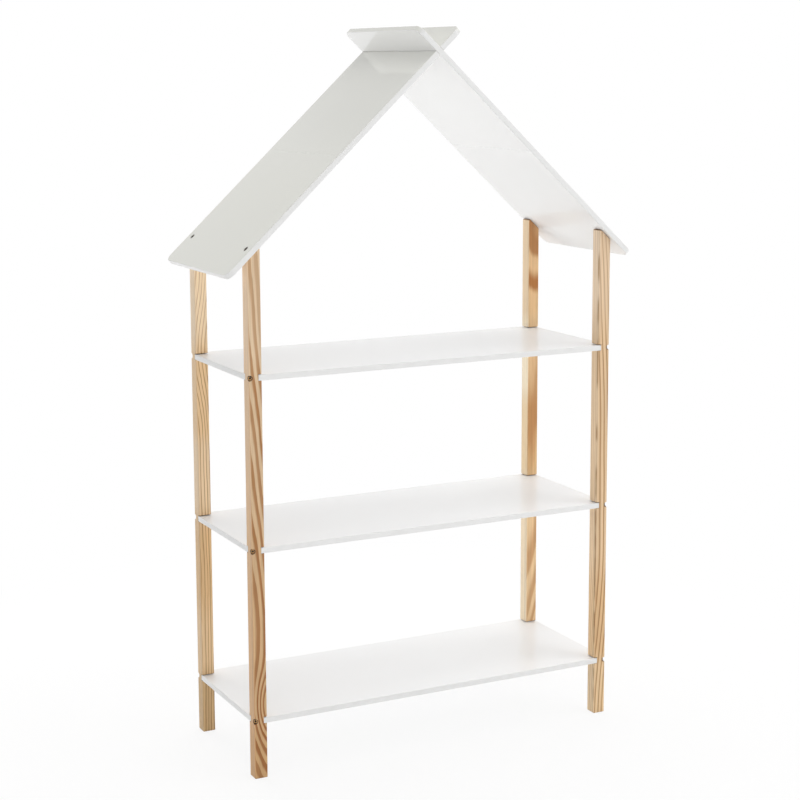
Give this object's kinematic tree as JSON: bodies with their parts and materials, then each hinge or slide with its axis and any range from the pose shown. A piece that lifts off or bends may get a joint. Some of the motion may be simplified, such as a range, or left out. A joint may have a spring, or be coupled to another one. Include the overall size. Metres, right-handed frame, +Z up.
{
  "type": "house shaped bookcase",
  "caption": "Open children's bookcase with square pine posts, white shelves let into the posts and a gabled roof of two boards that cross at the ridge.",
  "frame": {"origin": "on the floor, under the middle of the case", "axes": "+Z up, front towards -Y, +X to the right seen from the front"},
  "size_m": [0.9598, 0.35, 1.5445],
  "materials": {
    "natural_pine": "planed, clear matt varnish",
    "white_lacquer": "smooth white gloss lacquer on fibreboard",
    "bronze_screw": "dark antique bronze plating"
  },
  "bodies": {
    "root": {"front_left_post": "natural_pine", "front_right_post": "natural_pine", "back_left_post": "natural_pine", "back_right_post": "natural_pine", "bottom_shelf": "white_lacquer", "middle_shelf": "white_lacquer", "top_shelf": "white_lacquer", "left_roof_panel": "white_lacquer", "right_roof_panel": "white_lacquer", "bottom_shelf_screws": "bronze_screw", "middle_shelf_screws": "bronze_screw", "top_shelf_screws": "bronze_screw", "left_roof_screws": "bronze_screw", "right_roof_screws": "bronze_screw"}
  },
  "joints": []
}
